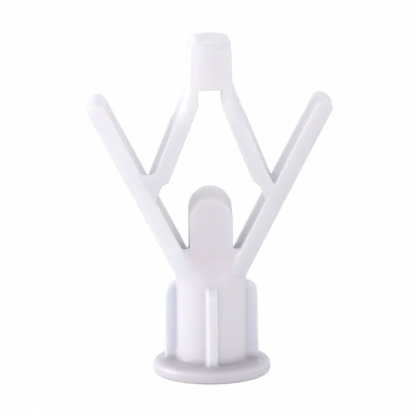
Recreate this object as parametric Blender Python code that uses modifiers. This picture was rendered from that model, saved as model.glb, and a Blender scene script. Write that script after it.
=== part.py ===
"""Winged drywall anchor: one moulding in natural plastic, modelled open, as it leaves its mould.

The anchor stands on its flange. The screw axis is +Z, the wings spread along X, and the front looks to -Y.
"""

import math

import bmesh
import bpy
from mathutils import Matrix, Vector

MM = 0.001
NODE = "anchor_body"

# Flange and barrel
FLANGE_D = 13.3 * MM
FLANGE_H = 1.6 * MM
FLANGE_TOP_R = 0.6 * MM
FLANGE_FOOT_R = 0.4 * MM
BARREL_D = 8.0 * MM
SHOULDER_TOP = 13.85 * MM
SHOULDER_SLOPE = math.radians(17.0)  # the barrel's front and back lean in to the stem at this angle

# Screw channel
BORE_D = 4.0 * MM
SINK_DEPTH = 1.1 * MM  # a 90 degree countersink for the screw's head
PILOT_D = 2.4 * MM
PILOT_ROOF = 1.3 * MM  # plastic left over the end of the pilot hole

# Fins that stop the barrel turning in the board
FIN_COUNT = 4
FIN_W = 1.2 * MM
FIN_REACH = 1.36 * MM
FIN_TAPER = 0.12 * MM  # how much less it reaches at the top
FIN_TOP = 10.6 * MM
FIN_CORNER_R = 1.35 * MM
FIN_EDGE_R = 0.15 * MM

# Stem round the screw channel, between the roots of the wings
STEM_SIDE_WALL = 0.46 * MM
STEM_FACE_WALL = 1.15 * MM
STEM_TOP = 20.95 * MM
STEM_EDGE_R = 0.2 * MM
GROOVE_R = 0.1 * MM  # bottom of the groove between stem and wing
WEB_TOP = 15.0 * MM  # a thin web closes the foot of each groove at its front
WEB_T = 0.5 * MM
WEB_SET = 0.06 * MM  # how far the web stands back from the stem's face

# Wings, each a slice of a rod as thick as the barrel
ROOT_Z = 13.35 * MM
WING_ANGLE = math.radians(27.4)
WING_T = 2.33 * MM
WING_LENGTH = 21.2 * MM
WING_EDGE_R = 0.22 * MM
WING_FOOT_LAP = 0.07 * MM  # how far the foot of a wing laps over the stem's face

# Links from the knee of each wing up to the tip
KNEE_ALONG = 9.86 * MM
LINK_T = 1.82 * MM
LINK_DEPTH = 7.0 * MM
LINK_EDGE_R = 0.15 * MM
LINK_ROUND_Z = 28.4 * MM  # from here up the links take on the tip's crowned section
LINK_ROUND_R = 1.3 * MM  # how round the upper links' corners become
LINK_ROUND_RUN = 2.2 * MM
NECK_T = 1.27 * MM
NECK_ALONG = 0.76 * MM
HEEL_ALONG = 1.53 * MM
KNEE_SINK = 0.25 * MM  # how far a link reaches into its wing

# Tip block that the screw bites into
TIP_W = 5.08 * MM
TIP_DEPTH = 6.8 * MM
TIP_TAPER = 0.08 * MM  # how much each side leans in on the way up
TIP_CROWN = 0.5 * MM  # how far the middle of its front and back stands proud
TIP_BOTTOM = 33.4 * MM
TIP_H = 5.56 * MM
TIP_GAP = 2.66 * MM
TIP_CORNER_R = 0.6 * MM
THROAT_R = 3.0 * MM  # the hollow curve from each link's outer face into the tip's side

# Rounded lead-in at the top of the tip, taller at its sides than at its front and back
SIDE_LEAD_INSET = 1.0 * MM
SIDE_LEAD_H = 1.6 * MM
FACE_LEAD_INSET = 1.4 * MM
FACE_LEAD_H = 0.9 * MM

# Fineness
ROUND_STEPS = 120
BORE_STEPS = 48
ARC_STEPS = 8
BLEND_STEPS = 8
CROWN_STEPS = 6
SHARP_ANGLE = math.radians(28.0)  # edges that turn further than this stay crisp
OVERRUN = 1.0 * MM  # how far a cutter runs past what it cuts
SINK_IN = 0.6 * MM  # how far one piece reaches into the next before they are joined
MERGE = 0.00001

BARREL_R = BARREL_D / 2
BORE_R = BORE_D / 2
STEM_HALF_W = BORE_R + STEM_SIDE_WALL
STEM_HALF_D = BORE_R + STEM_FACE_WALL
WING_HALF_D = math.sqrt(BARREL_R**2 - (BARREL_R - WING_T) ** 2)
TIP_TOP = TIP_BOTTOM + TIP_H

COLOUR = (0.86, 0.86, 0.88, 1.0)
ROUGHNESS = 0.32


def start_scene():
    """Empties the scene and returns the collections for the part and for its cutters."""
    for thing in list(bpy.data.objects):
        bpy.data.objects.remove(thing, do_unlink=True)
    groups = []
    for name in ("winged_drywall_anchor", "anchor_cutters"):
        group = bpy.data.collections.new(name)
        bpy.context.scene.collection.children.link(group)
        groups.append(group)
    return groups


def as_tool(thing):
    """Marks an object as one that only shapes the part."""
    thing.hide_render = True
    thing.display_type = "WIRE"
    return thing


def add_object(name, data, group):
    """Puts a mesh or a curve in the scene as an object at the origin."""
    thing = bpy.data.objects.new(name, data)
    group.objects.link(thing)
    return thing


def arc(centre, radius, start, end, steps=ARC_STEPS):
    """Points of an arc in the XZ plane, angles from +X towards +Z."""
    turn = (end - start) / steps
    return [
        (centre[0] + radius * math.cos(start + turn * i), centre[1] + radius * math.sin(start + turn * i))
        for i in range(steps + 1)
    ]


def outline_solid(name, points, half_depth, group):
    """A flat outline in the XZ plane, thickened to both sides along Y."""
    curve = bpy.data.curves.new(name, "CURVE")
    curve.dimensions = "2D"
    curve.fill_mode = "BOTH"
    curve.extrude = half_depth
    spline = curve.splines.new("POLY")
    spline.points.add(len(points) - 1)
    for point, (x, z) in zip(spline.points, points):
        point.co = (x, z, 0.0, 1.0)
    spline.use_cyclic_u = True
    flat = add_object(name + "_outline", curve, group)
    flat.rotation_euler = (math.pi / 2, 0.0, 0.0)
    bpy.context.view_layer.update()
    mesh = bpy.data.meshes.new_from_object(flat.evaluated_get(bpy.context.evaluated_depsgraph_get()))
    work = bmesh.new()
    work.from_mesh(mesh)
    bmesh.ops.transform(work, matrix=flat.matrix_world, verts=work.verts)
    bmesh.ops.remove_doubles(work, verts=work.verts, dist=MERGE)
    bmesh.ops.dissolve_limit(work, angle_limit=math.radians(1), verts=work.verts, edges=work.edges)
    bmesh.ops.recalc_face_normals(work, faces=work.faces)
    work.to_mesh(mesh)
    work.free()
    bpy.data.objects.remove(flat)
    return as_tool(add_object(name, mesh, group))


def along_y(a, b):
    """Whether an edge runs along Y."""
    return abs(a.x - b.x) < MERGE and abs(a.z - b.z) < MERGE


def in_outline(a, b):
    """Whether an edge lies in the front or the back outline of a solid."""
    return not along_y(a, b)


def round_edges(thing, radius, chosen, segments=2):
    """Rounds the edges of a mesh that the test picks from their two ends."""
    work = bmesh.new()
    work.from_mesh(thing.data)
    edges = [edge for edge in work.edges if chosen(edge.verts[0].co, edge.verts[1].co)]
    bmesh.ops.bevel(
        work,
        geom=edges,
        offset=radius,
        segments=segments,
        profile=0.5,
        affect="EDGES",
        clamp_overlap=True,
        material=-1,
    )
    work.to_mesh(thing.data)
    work.free()
    return thing


def boolean(thing, tool, operation):
    """Adds a Boolean to an object's modifiers."""
    step = thing.modifiers.new(tool.name, "BOOLEAN")
    step.operation = operation
    step.object = tool
    step.solver = "EXACT"
    return thing


def turned(name, profile, steps, group):
    """A solid turned about Z from a profile that runs down its outer side."""
    mesh = bpy.data.meshes.new(name)
    mesh.from_pydata([(x, 0.0, z) for x, z in profile], [(i, i + 1) for i in range(len(profile) - 1)], [])
    thing = add_object(name, mesh, group)
    turn = thing.modifiers.new("turn", "SCREW")
    turn.axis = "Z"
    turn.angle = math.tau
    turn.steps = steps
    turn.render_steps = steps
    turn.use_merge_vertices = True
    turn.merge_threshold = MERGE
    return thing


def flange_and_barrel(group):
    """The flange with its rounded rim, and the barrel up to the roots of the wings."""
    rim = FLANGE_D / 2
    profile = [(0.0, SHOULDER_TOP), (BARREL_R, SHOULDER_TOP), (BARREL_R, FLANGE_H)]
    profile += arc((rim - FLANGE_TOP_R, FLANGE_H - FLANGE_TOP_R), FLANGE_TOP_R, math.pi / 2, 0.0)
    profile += arc((rim - FLANGE_FOOT_R, FLANGE_FOOT_R), FLANGE_FOOT_R, 0.0, -math.pi / 2)
    profile.append((0.0, 0.0))
    return turned(NODE, profile, ROUND_STEPS, group)


def shoulder_cutter(side, group):
    """Cuts the barrel's front or back down to the stem's face, along a slope."""
    outer = BARREL_R + OVERRUN
    foot = SHOULDER_TOP - (outer - STEM_HALF_D) / math.tan(SHOULDER_SLOPE)
    top = SHOULDER_TOP + OVERRUN
    points = [(outer, foot), (outer, top), (STEM_HALF_D, top), (STEM_HALF_D, SHOULDER_TOP)]
    wedge = outline_solid("shoulder_cutter", points, outer, group)
    wedge.data.transform(Matrix.Rotation(side * math.pi / 2, 4, "Z"))
    return wedge


def fin(index, group):
    """One fin on the barrel, with a tapered edge and a round top corner."""
    reach = BARREL_R + FIN_REACH
    foot = FLANGE_H - SINK_IN
    inside = BORE_R + SINK_IN
    corner = (reach - FIN_TAPER - FIN_CORNER_R, FIN_TOP - FIN_CORNER_R)
    points = [(inside, foot), (reach, foot)]
    points += arc(corner, FIN_CORNER_R, 0.0, math.pi / 2)
    points.append((inside, FIN_TOP))
    blade = outline_solid("fin", points, FIN_W / 2, group)
    round_edges(blade, FIN_EDGE_R, in_outline)
    blade.data.transform(Matrix.Rotation(math.tau * index / FIN_COUNT, 4, "Z"))
    return blade


def stem(group):
    """The stem: a round-topped bar that flares into the wings at the bottom of each groove."""
    groove = (STEM_HALF_W + GROOVE_R, ROOT_Z + GROOVE_R / math.tan(WING_ANGLE / 2))
    reach = GROOVE_R + SINK_IN
    right = [
        (STEM_HALF_W, ROOT_Z - SINK_IN),
        (groove[0] + reach * math.cos(WING_ANGLE), groove[1] - reach * math.sin(WING_ANGLE)),
    ]
    right += arc(groove, GROOVE_R, -WING_ANGLE, -math.pi)
    crown = arc((0.0, STEM_TOP - STEM_HALF_W), STEM_HALF_W, 0.0, math.pi, 3 * ARC_STEPS)
    left = [(-x, z) for x, z in reversed(right)]
    bar = outline_solid("stem", right + crown + left, STEM_HALF_D, group)
    return round_edges(bar, STEM_EDGE_R, in_outline)


def web(side, group):
    """The thin web across the foot of the groove between the stem and one wing."""
    lean = math.tan(WING_ANGLE)
    low = ROOT_Z - SINK_IN
    inside = side * (STEM_HALF_W - SINK_IN)
    foot = side * (STEM_HALF_W + SINK_IN + (low - ROOT_Z) * lean)
    head = side * (STEM_HALF_W + SINK_IN + (WEB_TOP - ROOT_Z) * lean)
    points = [(inside, low), (foot, low), (head, WEB_TOP), (inside, WEB_TOP)]
    plate = outline_solid("web", points, WEB_T / 2, group)
    plate.data.transform(Matrix.Translation((0.0, WEB_SET + WEB_T / 2 - STEM_HALF_D, 0.0)))
    return plate


def wing_axes(side):
    """The wing's direction, its inward normal and the point where its inner face leaves the stem."""
    along = Vector((side * math.sin(WING_ANGLE), 0.0, math.cos(WING_ANGLE)))
    inward = Vector((-side * math.cos(WING_ANGLE), 0.0, math.sin(WING_ANGLE)))
    root = Vector((side * STEM_HALF_W, 0.0, ROOT_Z))
    return along, inward, root


def wing(side, group):
    """One wing: a bar of D section, its flat towards the screw, with a round free end."""
    along, inward, root = wing_axes(side)
    place = Matrix((inward, along, inward.cross(along))).transposed().to_4x4()
    foot = -BARREL_R
    far = WING_LENGTH + OVERRUN
    spread = math.asin(WING_HALF_D / BARREL_R)
    section = arc((BARREL_R - WING_T, 0.0), BARREL_R, math.pi - spread, math.pi + spread, 3 * ARC_STEPS)
    bar = outline_solid("wing", section, (far - foot) / 2, group)
    round_edges(bar, WING_EDGE_R, lambda a, b: along_y(a, b) and abs(a.x) < MERGE, 3)
    bar.data.transform(Matrix.Translation(root + along * (far + foot) / 2) @ place)
    upright = STEM_HALF_W - WING_FOOT_LAP
    for point in bar.data.vertices:
        if (point.co - root).dot(along) < 0.0:
            point.co += along * (upright - abs(point.co.x)) / abs(along.x)

    half = WING_T / 2
    low = WING_LENGTH - half
    curve = arc((0.0, 0.0), half, 0.0, math.pi, 2 * ARC_STEPS)
    wide = half + OVERRUN
    high = half + 2 * OVERRUN
    drop = (curve[1][1] - curve[0][1]) * OVERRUN / (curve[0][0] - curve[1][0])
    points = [(wide, -drop)] + curve + [(-wide, -drop), (-wide, high), (wide, high)]
    cutter = outline_solid("wing_end_cutter", points, BARREL_R + OVERRUN, group)
    turn = Matrix((-inward, inward.cross(along), along)).transposed().to_4x4()
    cutter.data.transform(Matrix.Translation(root - inward * half + along * low) @ turn)
    return boolean(bar, cutter, "DIFFERENCE")


def link_axes():
    """The right knee's crotch, the right link's direction up to the tip and its inward normal."""
    along_wing, _, root = wing_axes(1)
    knee = root + along_wing * KNEE_ALONG
    shoulder = Vector((TIP_W / 2, 0.0, TIP_BOTTOM))
    along = (shoulder - knee).normalized()
    inward = Vector((-along.z, 0.0, along.x))
    return knee, along, inward


def ease(z, low, high):
    """A soft step from 0 at one height to 1 at another."""
    t = min(max((z - low) / (high - low), 0.0), 1.0)
    return t * t * (3.0 - 2.0 * t)


def blend(z):
    """How far the links' section has turned into the tip's at a height, from 0 to 1."""
    return ease(z, LINK_ROUND_Z, TIP_BOTTOM)


def corner_radius(z):
    """The frame's corners: crisp low on the links, well rounded above, tighter again on the tip."""
    rounded = ease(z, LINK_ROUND_Z, LINK_ROUND_Z + LINK_ROUND_RUN)
    tightened = ease(z, TIP_BOTTOM - LINK_ROUND_RUN, TIP_BOTTOM)
    low = LINK_EDGE_R + (LINK_ROUND_R - LINK_EDGE_R) * rounded
    return low + (TIP_CORNER_R - LINK_ROUND_R) * tightened


def throat():
    """Points of the hollow curve that leads from the right link's outer face into the tip's side."""
    _, along, _ = link_axes()
    corner = Vector((TIP_W / 2, TIP_BOTTOM))
    down = Vector((-along.x, -along.z))
    up = Vector((-TIP_TAPER, TIP_H)).normalized()
    half = down.angle(up) / 2
    centre = corner + (down + up).normalized() * THROAT_R / math.sin(half)
    ends = [corner + way * THROAT_R / math.tan(half) - centre for way in (down, up)]
    start, end = (math.atan2(point.y, point.x) % math.tau for point in ends)
    return arc(centre, THROAT_R, start, end)


def side_outline(bottom):
    """Half widths and heights up the outer side of a link and of the tip."""
    knee, along, _ = link_axes()
    curve = throat()
    levels = [bottom, (bottom + LINK_ROUND_Z) / 2]
    levels += [LINK_ROUND_Z + (curve[0][1] - LINK_ROUND_Z) * i / BLEND_STEPS for i in range(BLEND_STEPS)]
    points = [(knee.x + (z - knee.z) * along.x / along.z, z) for z in levels]
    points += curve
    for i in range(ARC_STEPS + 1):
        turn = math.pi / 2 * i / ARC_STEPS
        z = TIP_TOP - SIDE_LEAD_H * (1.0 - math.sin(turn))
        side = TIP_W / 2 - TIP_TAPER * (z - TIP_BOTTOM) / TIP_H
        points.append((side - SIDE_LEAD_INSET * (1.0 - math.cos(turn)), z))
    return points


def face_depth(z):
    """Half the depth of the frame at its middle, at a height."""
    depth = LINK_DEPTH / 2 + blend(z) * (TIP_DEPTH - LINK_DEPTH) / 2
    rise = min(max(1.0 - (TIP_TOP - z) / FACE_LEAD_H, 0.0), 1.0)
    return depth - FACE_LEAD_INSET * (1.0 - math.sqrt(1.0 - rise * rise))


def frame_ring(half_w, middle, edge, radius):
    """One closed section of the frame: crowned front and back, and four round corners."""
    flat = half_w - radius
    corner = arc((flat, edge - radius), radius, 0.0, math.pi / 2, ARC_STEPS // 2)
    across = [1.0 - 2.0 * i / CROWN_STEPS for i in range(1, CROWN_STEPS)]
    crown = [(flat * t, middle - (middle - edge) * t * t) for t in across]
    ring = corner + crown + [(-x, y) for x, y in reversed(corner)]
    return ring + [(x, -y) for x, y in reversed(ring)]


def frame(group):
    """Both links and the tip: a body lofted up from the knees, less the space between the links."""
    knee, _, inward = link_axes()
    along_wing = wing_axes(1)[0]
    bottom = knee.z - NECK_T / inward.dot(-along_wing) - OVERRUN
    mesh = bpy.data.meshes.new("frame")
    work = bmesh.new()
    loops = []
    for half_w, z in side_outline(bottom):
        part = blend(z)
        middle = face_depth(z)
        ring = frame_ring(half_w, middle, middle - part * TIP_CROWN, corner_radius(z))
        loops.append([work.verts.new((x, y, z)) for x, y in ring])
    count = len(loops[0])
    for low, high in zip(loops, loops[1:]):
        for i in range(count):
            j = (i + 1) % count
            work.faces.new((low[i], low[j], high[j], high[i]))
    work.faces.new(reversed(loops[0]))
    work.faces.new(loops[-1])
    bmesh.ops.recalc_face_normals(work, faces=work.faces)
    work.to_mesh(mesh)
    work.free()
    body = as_tool(add_object("frame", mesh, group))
    return boolean(body, space_between(bottom, group), "DIFFERENCE")


def space_between(bottom, group):
    """Cuts out the space between the links, the notches at the knees and all below them."""
    knee, along, inward = link_axes()
    along_wing, inward_wing, _ = wing_axes(1)

    def at(u, v):
        place = knee + along * u + inward * v
        return (place.x, place.z)

    gap = TIP_GAP / 2
    inner = knee + inward * LINK_T
    bend = inner.z + (gap - inner.x) * along.z / along.x
    run = NECK_T * along.dot(along_wing) / inward.dot(along_wing)
    sunk = KNEE_SINK / along.dot(inward_wing)
    out = knee - along * sunk + along_wing * 2 * OVERRUN
    low = bottom - OVERRUN
    right = [
        (gap, TIP_BOTTOM),
        (gap, bend),
        at(HEEL_ALONG, LINK_T),
        at(NECK_ALONG, NECK_T),
        at(run - sunk, NECK_T),
        (out.x, out.z),
        (out.x + OVERRUN, low),
    ]
    points = right + [(-x, z) for x, z in reversed(right)]
    return outline_solid("space_between", points, LINK_DEPTH, group)


def bore_cutter(group):
    """The screw's channel, from the countersink in the flange up to a thin skin under the stem's crown."""
    dome = arc((0.0, STEM_TOP - STEM_HALF_W), BORE_R, math.pi / 2, 0.0)
    wide = BORE_R + SINK_DEPTH + OVERRUN
    profile = [(0.0, dome[0][1])] + dome[1:] + [(BORE_R, SINK_DEPTH), (wide, -OVERRUN), (0.0, -OVERRUN)]
    return as_tool(turned("bore_cutter", profile, BORE_STEPS, group))


def pilot_cutter(group):
    """The blind hole in the tip that the screw cuts its thread in."""
    top = TIP_TOP - PILOT_ROOF
    radius = PILOT_D / 2
    profile = [(0.0, top), (radius, top), (radius, TIP_BOTTOM - OVERRUN), (0.0, TIP_BOTTOM - OVERRUN)]
    return as_tool(turned("pilot_cutter", profile, BORE_STEPS, group))


def finish(thing):
    """Settles the body's mesh, shades it smooth between its crisp edges and gives it its plastic."""
    settled = bpy.data.meshes.new_from_object(thing.evaluated_get(bpy.context.evaluated_depsgraph_get()))
    thing.modifiers.clear()
    thing.data = settled
    settled.name = NODE
    settled.shade_smooth()
    settled.set_sharp_from_angle(angle=SHARP_ANGLE)

    plastic = bpy.data.materials.new("natural_polypropylene")
    plastic.use_nodes = True
    surface = plastic.node_tree.nodes["Principled BSDF"]
    surface.inputs["Base Color"].default_value = COLOUR
    surface.inputs["Roughness"].default_value = ROUGHNESS
    surface.inputs["Metallic"].default_value = 0.0
    settled.materials.clear()
    settled.materials.append(plastic)
    for face in settled.polygons:
        face.material_index = 0
    bpy.context.view_layer.objects.active = thing
    thing.select_set(True)


def main():
    part, tools = start_scene()
    body = flange_and_barrel(part)
    for side in (-1, 1):
        boolean(body, shoulder_cutter(side, tools), "DIFFERENCE")
    for side in (-1, 1):
        boolean(body, wing(side, tools), "UNION")
    for index in range(FIN_COUNT):
        boolean(body, fin(index, tools), "UNION")
    boolean(body, stem(tools), "UNION")
    for side in (-1, 1):
        boolean(body, web(side, tools), "UNION")
    boolean(body, frame(tools), "UNION")
    boolean(body, bore_cutter(tools), "DIFFERENCE")
    boolean(body, pilot_cutter(tools), "DIFFERENCE")
    finish(body)


main()
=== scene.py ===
"""A winged drywall anchor, moulded in natural polypropylene, on its flange in soft studio light.

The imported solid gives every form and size. This script softens its moulded edges, adds the small
marks that a mould leaves, and gives the plastic, the floor, the light and the camera.
"""

import logging
import math
from dataclasses import dataclass, field
from enum import Enum

import bmesh
import bpy
from mathutils import Matrix, Vector


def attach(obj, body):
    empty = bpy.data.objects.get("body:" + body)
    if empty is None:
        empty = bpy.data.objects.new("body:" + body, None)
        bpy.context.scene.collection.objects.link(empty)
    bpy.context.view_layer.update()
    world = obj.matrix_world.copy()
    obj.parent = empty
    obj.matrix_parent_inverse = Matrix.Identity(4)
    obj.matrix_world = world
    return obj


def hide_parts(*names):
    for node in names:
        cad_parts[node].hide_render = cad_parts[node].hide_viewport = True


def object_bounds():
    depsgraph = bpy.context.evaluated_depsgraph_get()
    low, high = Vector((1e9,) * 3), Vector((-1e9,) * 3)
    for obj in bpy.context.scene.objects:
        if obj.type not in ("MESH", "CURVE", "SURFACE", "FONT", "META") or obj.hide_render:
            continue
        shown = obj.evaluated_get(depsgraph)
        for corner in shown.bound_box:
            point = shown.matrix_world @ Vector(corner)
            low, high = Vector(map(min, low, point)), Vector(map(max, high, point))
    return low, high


MM = 0.001
NODE = "anchor_body"
BODY = "root"
PIECE = "anchor_moulding"
WHITE = "#FFFFFF"

# The Mix node has a set of sockets for each kind of data: these are A, B and Result for colours.
MIX_A, MIX_B, MIX_RESULT = 6, 7, 2

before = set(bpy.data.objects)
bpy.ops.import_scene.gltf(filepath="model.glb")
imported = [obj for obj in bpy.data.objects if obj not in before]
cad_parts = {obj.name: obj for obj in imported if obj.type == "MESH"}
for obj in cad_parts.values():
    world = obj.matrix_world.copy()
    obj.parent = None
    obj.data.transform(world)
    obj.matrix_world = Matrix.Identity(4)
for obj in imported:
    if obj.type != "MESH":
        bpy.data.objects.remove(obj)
CAD_LOW, CAD_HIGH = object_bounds()

logging.basicConfig(level=logging.INFO, format="%(message)s")
log = logging.getLogger("drywall_anchor")


class Ray(Enum):
    """A kind of ray that may see a background as white, by its socket on the Light Path node."""

    CAMERA = "Is Camera Ray"
    GLOSSY = "Is Glossy Ray"
    TRANSMISSION = "Is Transmission Ray"


def linear(hex_colour: str) -> tuple[float, float, float, float]:
    """Turns an sRGB hex colour to the linear values that a shader takes.

    Args:
        hex_colour: Six hex digits, with or without a leading #.

    Returns:
        Linear red, green, blue and an alpha of 1.
    """
    digits = hex_colour.lstrip("#")
    levels = [int(digits[i : i + 2], 16) / 255.0 for i in (0, 2, 4)]
    # The numbers are those of the sRGB standard's curve.
    red, green, blue = (
        v / 12.92 if v <= 0.04045 else ((v + 0.055) / 1.055) ** 2.4 for v in levels
    )
    return (red, green, blue, 1.0)


def add_node(
    tree: bpy.types.NodeTree,
    kind: str,
    settings: dict[str, object] | None = None,
    inputs: dict[str | int, object] | None = None,
) -> bpy.types.Node:
    """Adds a node with its settings, values and links.

    Args:
        tree: The node tree that takes the node.
        kind: The node's type name.
        settings: Attribute names of the node and their values.
        inputs: Input sockets, each with a value or with the output socket that feeds it.

    Returns:
        The new node.
    """
    node = tree.nodes.new(kind)
    for name, value in (settings or {}).items():
        setattr(node, name, value)
    for name, value in (inputs or {}).items():
        if isinstance(value, bpy.types.NodeSocket):
            tree.links.new(value, node.inputs[name])
        else:
            node.inputs[name].default_value = value
    return node


def add_ramp(
    tree: bpy.types.NodeTree,
    height: bpy.types.NodeSocket,
    stops: tuple[tuple[float, str], ...],
) -> bpy.types.NodeSocket:
    """Adds a colour that changes with height.

    Args:
        tree: The node tree that takes the nodes.
        height: The socket that gives the height in metres.
        stops: Heights in millimetres, rising, each with its sRGB hex colour.

    Returns:
        The socket that gives the colour.
    """
    low, high = stops[0][0], stops[-1][0]
    share = add_node(
        tree,
        "ShaderNodeMapRange",
        inputs={"Value": height, "From Min": low * MM, "From Max": high * MM},
    )
    node = add_node(tree, "ShaderNodeValToRGB", inputs={"Fac": share.outputs["Result"]})
    elements = node.color_ramp.elements
    elements[0].color, elements[1].color = linear(stops[0][1]), linear(stops[-1][1])
    for place, colour in stops[1:-1]:
        elements.new((place - low) / (high - low)).color = linear(colour)
    return node.outputs["Color"]


def add_seen_by(tree: bpy.types.NodeTree, rays: tuple[Ray, ...]) -> bpy.types.NodeSocket:
    """Adds a value that is 1 for some kinds of ray and 0 for all others.

    Args:
        tree: The node tree that takes the nodes.
        rays: The kinds of ray that get the 1.

    Returns:
        The socket that gives the value.
    """
    path = add_node(tree, "ShaderNodeLightPath")
    seen = path.outputs[rays[0].value]
    for ray in rays[1:]:
        either = add_node(
            tree,
            "ShaderNodeMath",
            {"operation": "MAXIMUM"},
            {0: seen, 1: path.outputs[ray.value]},
        )
        seen = either.outputs[0]
    return seen


def new_tree(owner: bpy.types.Material | bpy.types.World) -> bpy.types.NodeTree:
    """Gives a material or a world an empty node tree.

    Args:
        owner: The material or the world.

    Returns:
        Its node tree, with no nodes in it.
    """
    owner.use_nodes = True
    owner.node_tree.nodes.clear()
    return owner.node_tree


@dataclass(frozen=True)
class NaturalPolypropylene:
    """Injection-moulded natural polypropylene.

    It gives the eye a milky white that light sinks into, with a soft moulded sheen. Thick parts
    take up more light and look a little darker and warmer, thin ones look bluish and bright. Part
    of the colour's change with height is painted light and shade: it is painted darker low down
    and on the flange's up-facing top, and paler up to the tip.

    Attributes:
        middle: Colours up the barrel, the stem, the links and the tip, by height in millimetres.
            They carry painted shade on the flange's and the cap's up-facing tops, and painted
            light on the tip.
        around: Colours up the flange, the fins and the wings, in the same way, with the same
            painted shade on the flange's top.
        stem_side: Half the distance between the wings' inner faces at their roots.
        root_height: The height of the wings' roots.
        lean: How far the wings' inner faces spread for each unit of height.
        barrel_side: Half the barrel's width and a little over, where the fins begin.
        barrel_end: How far under the roots the barrel starts to give way to the wings.
        wing_start: How far under the roots the wings have taken its place.
        fade: Half the width of the strip in which one row of colours turns to the other.
        cloud: The tint of the cloudy places.
        cloud_size: Their size.
        cloud_detail: How broken their edges are.
        ripple_size: The size of the waves that the cooling plastic leaves in its skin.
        ripple_depth: How deep they are.
        ripple_detail: How uneven they are.
        grain_size: The size of the skin's grain.
        grain_depth: How deep it is.
        grain_detail: How uneven it is.
        roughness: The soft sheen of a mould that was ground, not polished.
        ior: How strongly the plastic bends light.
        milkiness: How much of the light sinks in.
        depth: How far it sinks.
        spread: How far its red, green and blue go, for each unit of that depth.
    """

    middle: tuple[tuple[float, str], ...] = (
        # The colours grow paler with height: partly the plastic's thickness, partly painted shade
        # low down and painted light high up.
        (0.0, "#E2DEE5"),
        (1.2, "#E0DCE3"),
        # Painted shade: the flange's up-facing top is made darker than its rim and the barrel.
        (1.6, "#CDC9D0"),
        (2.4, "#EEECF1"),
        (11.0, "#EEEBF0"),
        (13.5, "#F0EAF0"),
        (16.0, "#EEEAF0"),
        (21.2, "#EDEBEF"),
        (22.4, "#F0EFF2"),
        (26.5, "#F1F0F4"),
        (29.5, "#F3F3F7"),
        # Painted light: the tip is made paler than the stem and the links below it.
        (33.0, "#F8F6FB"),
        (37.6, "#F8F6FB"),
        # Painted shade: the cap's up-facing top is made a little darker than the tip's front.
        (38.4, "#F3F2F5"),
        (39.0, "#F2F1F5"),
    )
    around: tuple[tuple[float, str], ...] = (
        (0.0, "#E2DEE5"),
        (1.2, "#E0DCE3"),
        # Painted shade: the flange's up-facing top, as in the middle row.
        (1.6, "#CDC9D0"),
        (2.4, "#E7E7EE"),
        (10.4, "#E9E9F0"),
        (12.0, "#EEEDF1"),
        (24.0, "#EEEDF0"),
        (30.0, "#EEECF1"),
    )
    stem_side: float = 2.46 * MM
    root_height: float = 13.35 * MM
    lean: float = 0.518
    barrel_side: float = 4.05 * MM
    barrel_end: float = 1.9 * MM
    wing_start: float = 0.4 * MM
    fade: float = 0.2 * MM
    cloud: str = "#F6F5F9"
    # Flow and cooling leave clouds some millimetres wide in the plastic, drawn at their real size.
    cloud_size: float = 6.0 * MM
    cloud_detail: float = 2.0
    # The skin sinks a little over thick plastic, in waves as wide as the wings are thick.
    ripple_size: float = 3.0 * MM
    ripple_depth: float = 0.02 * MM
    ripple_detail: float = 1.0
    # The grain of a ground mould is about 0.03 mm, too fine to show at 9 pixels to a millimetre,
    # so it is drawn about eight times as coarse.
    grain_size: float = 0.25 * MM
    grain_depth: float = 0.004 * MM
    grain_detail: float = 2.0
    roughness: float = 0.3
    ior: float = 1.49
    milkiness: float = 1.0
    depth: float = 1.1 * MM
    spread: tuple[float, float, float] = (1.0, 1.1, 1.25)

    def build(self) -> bpy.types.Material:
        """Builds the material.

        Returns:
            The finished material.
        """
        # Moulded milky plastic: the eye sees soft shade, glowing thin edges and a dull sheen. Its
        # colour also holds painted shade low down and painted light on the tip.
        material = bpy.data.materials.new("injection_moulded_natural_polypropylene")
        tree = new_tree(material)
        place = add_node(tree, "ShaderNodeTexCoord").outputs["Object"]
        cloud, ripple, grain = (
            add_node(
                tree,
                "ShaderNodeTexNoise",
                inputs={"Vector": place, "Scale": 1.0 / size, "Detail": detail},
            )
            for size, detail in (
                (self.cloud_size, self.cloud_detail),
                (self.ripple_size, self.ripple_detail),
                (self.grain_size, self.grain_detail),
            )
        )
        colour = add_node(
            tree,
            "ShaderNodeMix",
            {"data_type": "RGBA", "blend_type": "MULTIPLY"},
            {
                "Factor": cloud.outputs["Fac"],
                # The tint carries painted shade and painted light, set by height.
                MIX_A: self.tint(tree, place),
                MIX_B: linear(self.cloud),
            },
        )
        rippled = add_node(
            tree,
            "ShaderNodeBump",
            inputs={"Height": ripple.outputs["Fac"], "Distance": self.ripple_depth},
        )
        grained = add_node(
            tree,
            "ShaderNodeBump",
            inputs={
                "Height": grain.outputs["Fac"],
                "Distance": self.grain_depth,
                "Normal": rippled.outputs["Normal"],
            },
        )
        surface = add_node(
            tree,
            "ShaderNodeBsdfPrincipled",
            inputs={
                "Base Color": colour.outputs[MIX_RESULT],
                "Roughness": self.roughness,
                "IOR": self.ior,
                "Subsurface Weight": self.milkiness,
                "Subsurface Radius": self.spread,
                "Subsurface Scale": self.depth,
                "Normal": grained.outputs["Normal"],
            },
        )
        add_node(tree, "ShaderNodeOutputMaterial", inputs={"Surface": surface.outputs["BSDF"]})
        return material

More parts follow.
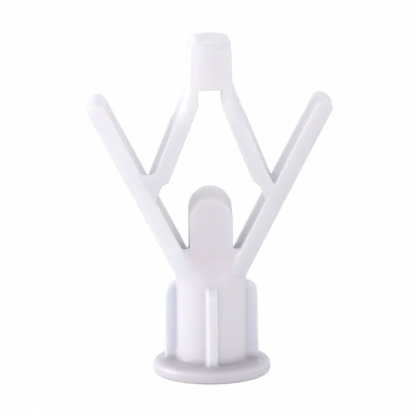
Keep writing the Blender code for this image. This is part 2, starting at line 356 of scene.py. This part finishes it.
    def tint(self, tree: bpy.types.NodeTree, place: bpy.types.NodeSocket) -> bpy.types.NodeSocket:
        """Adds the colour that follows the thickness of the moulding.

        The thick middle takes one row of colours and the thinner parts around it the other. They
        meet at the wings' inner faces, and lower down at the barrel's skin. Both rows also carry
        painted shade low down and on up-facing tops, and painted light on the tip.

        Args:
            tree: The node tree that takes the nodes.
            place: The socket that gives the place on the piece.

        Returns:
            The socket that gives the colour.
        """
        apart = add_node(tree, "ShaderNodeSeparateXYZ", inputs={"Vector": place})
        height = apart.outputs["Z"]
        side = add_node(tree, "ShaderNodeMath", {"operation": "ABSOLUTE"}, {0: apart.outputs["X"]})
        wing_face = add_node(
            tree,
            "ShaderNodeMath",
            {"operation": "MULTIPLY_ADD"},
            {0: height, 1: self.lean, 2: self.stem_side - self.root_height * self.lean},
        )
        barrel_face = add_node(
            tree,
            "ShaderNodeMapRange",
            inputs={
                "Value": height,
                "From Min": self.root_height - self.barrel_end,
                "From Max": self.root_height - self.wing_start,
                "To Min": self.barrel_side,
                "To Max": 0.0,
            },
        )
        border = add_node(
            tree,
            "ShaderNodeMath",
            {"operation": "MAXIMUM"},
            {0: wing_face.outputs[0], 1: barrel_face.outputs["Result"]},
        )
        past = add_node(
            tree,
            "ShaderNodeMath",
            {"operation": "SUBTRACT"},
            {0: side.outputs[0], 1: border.outputs[0]},
        )
        share = add_node(
            tree,
            "ShaderNodeMapRange",
            inputs={"Value": past.outputs[0], "From Min": -self.fade, "From Max": self.fade},
        )
        # Both rows carry painted shade on the flange's top and painted light higher up.
        mixed = add_node(
            tree,
            "ShaderNodeMix",
            {"data_type": "RGBA"},
            {
                "Factor": share.outputs["Result"],
                MIX_A: add_ramp(tree, height, self.middle),
                MIX_B: add_ramp(tree, height, self.around),
            },
        )
        return mixed.outputs[MIX_RESULT]


@dataclass(frozen=True)
class PaperFloor:
    """Seamless white background paper.

    It gives the eye an even white ground with only a faint shadow where the flange stands on it.

    Attributes:
        colour: The paper's own colour.
        roughness: How matt it is.
        white_share: How much of what the camera sees is plain white. The rest keeps the shadow.
    """

    colour: str = "#F4F4F4"
    roughness: float = 0.85
    white_share: float = 0.97

    def build(self) -> bpy.types.Material:
        """Builds the material.

        Returns:
            The finished material.
        """
        # Matt uncoated paper: the eye sees plain white, with no fibre at this distance.
        material = bpy.data.materials.new("white_background_paper")
        tree = new_tree(material)
        paper = add_node(
            tree,
            "ShaderNodeBsdfPrincipled",
            inputs={"Base Color": linear(self.colour), "Roughness": self.roughness},
        )
        white = add_node(
            tree, "ShaderNodeEmission", inputs={"Color": linear(WHITE), "Strength": 1.0}
        )
        share = add_node(
            tree,
            "ShaderNodeMath",
            {"operation": "MULTIPLY"},
            {0: add_seen_by(tree, (Ray.CAMERA,)), 1: self.white_share},
        )
        mixed = add_node(
            tree,
            "ShaderNodeMixShader",
            inputs={0: share.outputs[0], 1: paper.outputs["BSDF"], 2: white.outputs[0]},
        )
        add_node(tree, "ShaderNodeOutputMaterial", inputs={"Surface": mixed.outputs[0]})
        return material


@dataclass(frozen=True)
class Web:
    """A small web of plastic that closes the front of a knee's notch and slopes to the back.

    Attributes:
        corners: The corners of its front face and of its back end, in millimetres.
    """

    corners: tuple[tuple[float, float, float], ...]

    def add_to(self, work: bmesh.types.BMesh) -> None:
        """Adds the web to a mesh as a closed body.

        Args:
            work: The mesh that takes it, in metres.
        """
        points = [work.verts.new(Vector(corner) * MM) for corner in self.corners]
        hull = bmesh.ops.convex_hull(work, input=points)
        spare = [item for item in hull["geom_interior"] if isinstance(item, bmesh.types.BMVert)]
        bmesh.ops.delete(work, geom=spare, context="VERTS")


@dataclass(frozen=True)
class Scar:
    """A shallow line that the mould's gate or ejector left in the skin.

    Attributes:
        start: One end of the line, in millimetres.
        end: The other end.
        width: Its half width, in millimetres.
        depth: How deep it lies, in millimetres.
    """

    start: tuple[float, float, float]
    end: tuple[float, float, float]
    width: float = 0.16
    depth: float = 0.09

    def depth_at(self, point: Vector) -> float:
        """Tells how deep the line lies under a point.

        Args:
            point: The point on the skin, in metres.

        Returns:
            The depth in metres, which is 0 away from the line.
        """
        low, high = Vector(self.start) * MM, Vector(self.end) * MM
        run = high - low
        share = min(max((point - low).dot(run) / run.length_squared, 0.0), 1.0)
        away = (point - low - run * share).length / (self.width * MM)
        return self.depth * MM * max(0.0, 1.0 - away * away)


@dataclass(frozen=True)
class Blend:
    """A place where the moulding's forms run into each other, so that their edges fade.

    Attributes:
        middle: Its middle, in millimetres.
        reach: Its half sizes along X, Y and Z, in millimetres.
        strength: How much its middle is blended, up to 1.
    """

    middle: tuple[float, float, float]
    reach: tuple[float, float, float]
    strength: float = 1.0

    def share_at(self, point: Vector) -> float:
        """Tells how much a point is blended.

        Args:
            point: The point on the skin, in metres.

        Returns:
            The full strength in the inner half of the reach, falling softly to 0 at its rim.
        """
        offsets = zip(point, self.middle, self.reach)
        away = Vector([(p / MM - middle) / reach for p, middle, reach in offsets]).length
        share = min(max(2.0 - 2.0 * away, 0.0), 1.0)
        return self.strength * share * share * (3.0 - 2.0 * share)


@dataclass
class Moulding:
    """The whole anchor: one moulding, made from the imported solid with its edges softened.

    Attributes:
        weld: How close two corners of the solid's loose triangles lie when they are one.
        voxel: The grid of the even skin.
        smooth_rounds: How often the skin is smoothed to round its edges.
        smooth_factor: How far each round goes, of the way to the neighbours' middle.
        blend_rounds: How often it is smoothed at the blended places.
        triangles: The most triangles that the finished piece has.
        cap_seam: The height of the mould's seam round the cap.
        cap_step: How far the cap stands in over that seam.
        webs: The webs in the left and the right knee.
        scars: The marks on the cap.
        blends: The wing roots, the foot of barrel and fins, the stem's crown, the left side of
            the front fin, the left knee and the right knee.
        finish: The plastic.
    """

    weld: float = 0.001 * MM
    voxel: float = 0.075 * MM
    quick_coarser: int = 3
    smooth_rounds: int = 2
    smooth_factor: float = 0.5
    blend_rounds: int = 220
    triangles: int = 190_000
    cap_seam: float = 38.0 * MM
    cap_step: float = 0.07 * MM
    webs: tuple[Web, ...] = (
        Web(
            (
                (-5.9, -3.46, 24.1),
                (-8.2, -3.46, 23.8),
                (-7.0, -3.46, 21.8),
                (-6.6, -1.4, 22.3),
                (-7.4, -1.4, 22.3),
                (-7.0, -1.4, 21.8),
            )
        ),
        Web(
            (
                (5.3, -3.46, 25.4),
                (6.62, -3.46, 23.75),
                (7.15, -3.46, 22.5),
                (6.9, -3.46, 21.8),
                (6.2, -2.0, 23.4),
                (6.9, -2.0, 22.1),
            )
        ),
    )
    scars: tuple[Scar, ...] = (
        Scar((-0.83, -2.62, 38.83), (-0.45, -3.22, 38.47)),
        Scar((0.6, 0.87, 38.96), (0.8, -0.53, 38.96)),
    )
    blends: tuple[Blend, ...] = (
        Blend((0.0, -3.0, 13.2), (5.4, 2.6, 3.0)),
        Blend((0.0, 0.0, 1.8), (12.0, 12.0, 1.3)),
        Blend((0.0, -3.0, 21.4), (4.6, 1.4, 3.4), 0.8),
        Blend((-0.9, -4.4, 6.0), (1.1, 1.4, 7.0), 0.5),
        Blend((-7.0, -2.6, 22.8), (2.2, 2.6, 2.4), 0.9),
        Blend((7.0, -2.6, 22.6), (2.0, 2.4, 2.2), 0.3),
    )
    finish: NaturalPolypropylene = field(default_factory=NaturalPolypropylene)

    def build(self) -> bpy.types.Object:
        """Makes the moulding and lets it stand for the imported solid.

        Returns:
            The finished piece.
        """
        piece = self.copy_of_solid()
        self.soften(piece)
        self.blend(piece)
        self.thin_out(piece)
        self.mark_cap(piece)
        piece.data.materials.clear()
        piece.data.materials.append(self.finish.build())
        for face in piece.data.polygons:
            face.use_smooth = True
        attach(piece, BODY)
        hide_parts(NODE)
        return piece

    def copy_of_solid(self) -> bpy.types.Object:
        """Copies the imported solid, merges its loose triangles to one skin and adds the webs.

        Returns:
            The copy, as an object at the origin.
        """
        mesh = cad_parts[NODE].data.copy()
        mesh.name = PIECE
        work = bmesh.new()
        work.from_mesh(mesh)
        bmesh.ops.remove_doubles(work, verts=work.verts, dist=self.weld)
        for web in self.webs:
            web.add_to(work)
        work.to_mesh(mesh)
        work.free()
        piece = bpy.data.objects.new(PIECE, mesh)
        bpy.context.scene.collection.objects.link(piece)
        return piece

    def soften(self, piece: bpy.types.Object) -> None:
        """Gives the piece one even skin and rounds every edge a little, as a mould does.

        Args:
            piece: The copy of the solid, whose mesh is replaced.
        """
        even = piece.modifiers.new("even skin", "REMESH")
        even.mode = "VOXEL"
        even.voxel_size = self.voxel * 1
        soft = piece.modifiers.new("soft edges", "SMOOTH")
        soft.factor = self.smooth_factor
        soft.iterations = self.smooth_rounds
        self.apply(piece)

    def blend(self, piece: bpy.types.Object) -> None:
        """Lets the forms run into each other at the blended places.

        Args:
            piece: The softened moulding.
        """
        group = piece.vertex_groups.new(name="blended")
        for vertex in piece.data.vertices:
            share = max(place.share_at(vertex.co) for place in self.blends)
            if share > 0.0:
                group.add([vertex.index], share, "REPLACE")
        run = piece.modifiers.new("run together", "SMOOTH")
        run.vertex_group = group.name
        run.factor = self.smooth_factor
        run.iterations = self.blend_rounds // 1
        self.apply(piece)
        piece.vertex_groups.clear()

    def thin_out(self, piece: bpy.types.Object) -> None:
        """Takes out the triangles that flat places don't need.

        Args:
            piece: The softened moulding.
        """
        count = sum(len(face.vertices) - 2 for face in piece.data.polygons)
        if count > self.triangles:
            thin = piece.modifiers.new("thin out", "DECIMATE")
            thin.ratio = self.triangles / count
            self.apply(piece)

    def apply(self, piece: bpy.types.Object) -> None:
        """Turns the piece's modifiers into its own mesh.

        Args:
            piece: The moulding, which keeps no modifier.
        """
        bpy.context.view_layer.update()
        finished = piece.evaluated_get(bpy.context.evaluated_depsgraph_get())
        mesh = bpy.data.meshes.new_from_object(finished)
        piece.modifiers.clear()
        mesh.name = PIECE
        piece.data = mesh

    def mark_cap(self, piece: bpy.types.Object) -> None:
        """Steps the cap in over the mould's seam and sinks the scars in it.

        It also keeps the skin within the solid's box in height, which the remesh may pass by a
        hair.

        Args:
            piece: The softened moulding.
        """
        for vertex in piece.data.vertices:
            vertex.co.z = min(max(vertex.co.z, CAD_LOW[2]), CAD_HIGH[2])
            if vertex.co.z < self.cap_seam:
                continue
            outward = Vector((vertex.co.x, vertex.co.y, 0.0))
            if outward.length > self.cap_step:
                vertex.co -= outward.normalized() * self.cap_step
            for scar in self.scars:
                vertex.co.z -= scar.depth_at(vertex.co)


@dataclass(frozen=True)
class Softbox:
    """A square lamp with an even face.

    Attributes:
        name: Its name in the scene.
        place: Where its middle hangs, in metres.
        watts: Its power.
        aim: The point that it faces, halfway up the anchor.
        size: The length of its sides, in metres.
    """

    name: str
    place: tuple[float, float, float]
    watts: float
    aim: tuple[float, float, float] = (0.0, 0.0, 0.019)
    size: float = 0.5

    def build(self) -> bpy.types.Object:
        """Hangs the softbox and turns it to its aim.

        Returns:
            The lamp.
        """
        data = bpy.data.lights.new(self.name, "AREA")
        data.size = self.size
        data.energy = self.watts
        lamp = bpy.data.objects.new(self.name, data)
        lamp.location = self.place
        towards = Vector(self.aim) - Vector(self.place)
        lamp.rotation_euler = towards.to_track_quat("-Z", "Y").to_euler()
        lamp.visible_camera = False
        bpy.context.scene.collection.objects.link(lamp)
        return lamp


@dataclass
class Studio:
    """White floor, soft lamps and the pale room round them.

    Attributes:
        floor_size: The length of the floor's sides, in metres.
        floor_gap: How far the paper lies under the flange, so that the two are never one face.
        room: The strength of the room's even light.
        softboxes: The main lamp at the left, a weak one at the front right, and a faint one high
            up behind.
        floor_finish: The paper.
    """

    floor_size: float = 8.0
    floor_gap: float = 0.01 * MM
    room: float = 0.64
    softboxes: tuple[Softbox, ...] = (
        Softbox("side_softbox", (-0.8, 0.0, 0.09), 4.5),
        Softbox("front_softbox", (0.4, -0.69, 0.09), 1.6),
        Softbox("back_softbox", (0.0, 0.4, 0.71), 0.8),
    )
    floor_finish: PaperFloor = field(default_factory=PaperFloor)

    def build(self) -> list[bpy.types.Object]:
        """Lays the floor, hangs the lamps and lights the room.

        Returns:
            The floor and the lamps.
        """
        floor = self.lay_floor()
        self.light_room()
        lamps = [softbox.build() for softbox in self.softboxes]
        bpy.context.scene.view_settings.view_transform = "Standard"
        return [floor, *lamps]

    def lay_floor(self) -> bpy.types.Object:
        """Lays the paper under the flange.

        Returns:
            The floor.
        """
        mesh = bpy.data.meshes.new("paper_floor")
        work = bmesh.new()
        bmesh.ops.create_grid(work, x_segments=1, y_segments=1, size=self.floor_size / 2)
        bmesh.ops.translate(work, verts=work.verts, vec=(0.0, 0.0, -self.floor_gap))
        work.to_mesh(mesh)
        work.free()
        floor = bpy.data.objects.new("paper_floor", mesh)
        bpy.context.scene.collection.objects.link(floor)
        floor.data.materials.append(self.floor_finish.build())
        return floor

    def light_room(self) -> None:
        """Gives the room its even pale light, and shows it white wherever it is seen itself."""
        world = bpy.data.worlds.new("pale_room")
        bpy.context.scene.world = world
        tree = new_tree(world)
        level = add_node(
            tree,
            "ShaderNodeMapRange",
            inputs={
                "Value": add_seen_by(tree, (Ray.CAMERA, Ray.GLOSSY, Ray.TRANSMISSION)),
                "To Min": self.room,
                "To Max": 1.0,
            },
        )
        light = add_node(
            tree,
            "ShaderNodeBackground",
            inputs={"Color": linear(WHITE), "Strength": level.outputs["Result"]},
        )
        add_node(tree, "ShaderNodeOutputWorld", inputs={"Surface": light.outputs[0]})


@dataclass
class PhotoCamera:
    """The photograph's camera: far off, a little above the anchor and a little to its left.

    Attributes:
        azimuth: How far it is turned round the anchor, in degrees, to the right where above 0.
        elevation: How far it looks down, in degrees.
        roll: How far it is tilted, in degrees.
        distance: How far it stands from its target, in metres.
        target: The point in the middle of the picture.
        pixels_per_mm: The scale of the picture at the target.
        frame_pixels: The width of the picture.
        sensor: The width of the sensor, in millimetres.
        near: The nearest distance that it shows, in metres.
        far: The farthest.
    """

    azimuth: float = -1.2
    elevation: float = 13.6
    roll: float = -0.5
    distance: float = 0.9
    target: tuple[float, float, float] = (-0.27 * MM, 0.0, 19.04 * MM)
    pixels_per_mm: float = 8.82
    frame_pixels: float = 416.0
    sensor: float = 36.0
    near: float = 0.05
    far: float = 20.0

    def build(self) -> bpy.types.Object:
        """Places the camera and makes it the scene's own.

        Returns:
            The camera.
        """
        turn, rise, tilt = (math.radians(v) for v in (self.azimuth, self.elevation, self.roll))
        level = math.cos(rise)
        back = Vector((math.sin(turn) * level, -math.cos(turn) * level, math.sin(rise)))
        right = Vector((math.cos(turn), math.sin(turn), 0.0))
        up = back.cross(right)
        side = right * math.cos(tilt) + up * math.sin(tilt)
        top = up * math.cos(tilt) - right * math.sin(tilt)
        data = bpy.data.cameras.new("photo_camera")
        data.sensor_width = self.sensor
        data.lens = self.pixels_per_mm * self.distance / MM * self.sensor / self.frame_pixels
        data.clip_start, data.clip_end = self.near, self.far
        camera = bpy.data.objects.new("photo_camera", data)
        turned = Matrix((side, top, back)).transposed().to_4x4()
        stand = Vector(self.target) + back * self.distance
        camera.matrix_world = Matrix.Translation(stand) @ turned
        bpy.context.scene.collection.objects.link(camera)
        bpy.context.scene.camera = camera
        return camera


def main() -> None:
    """Builds the anchor, the studio and the camera in order, and reports each piece."""
    moulding = Moulding().build()
    log.info("%s: %d faces", moulding.name, len(moulding.data.polygons))
    for item in (*Studio().build(), PhotoCamera().build()):
        log.info("%s is in place", item.name)


if __name__ == "__main__":
    main()
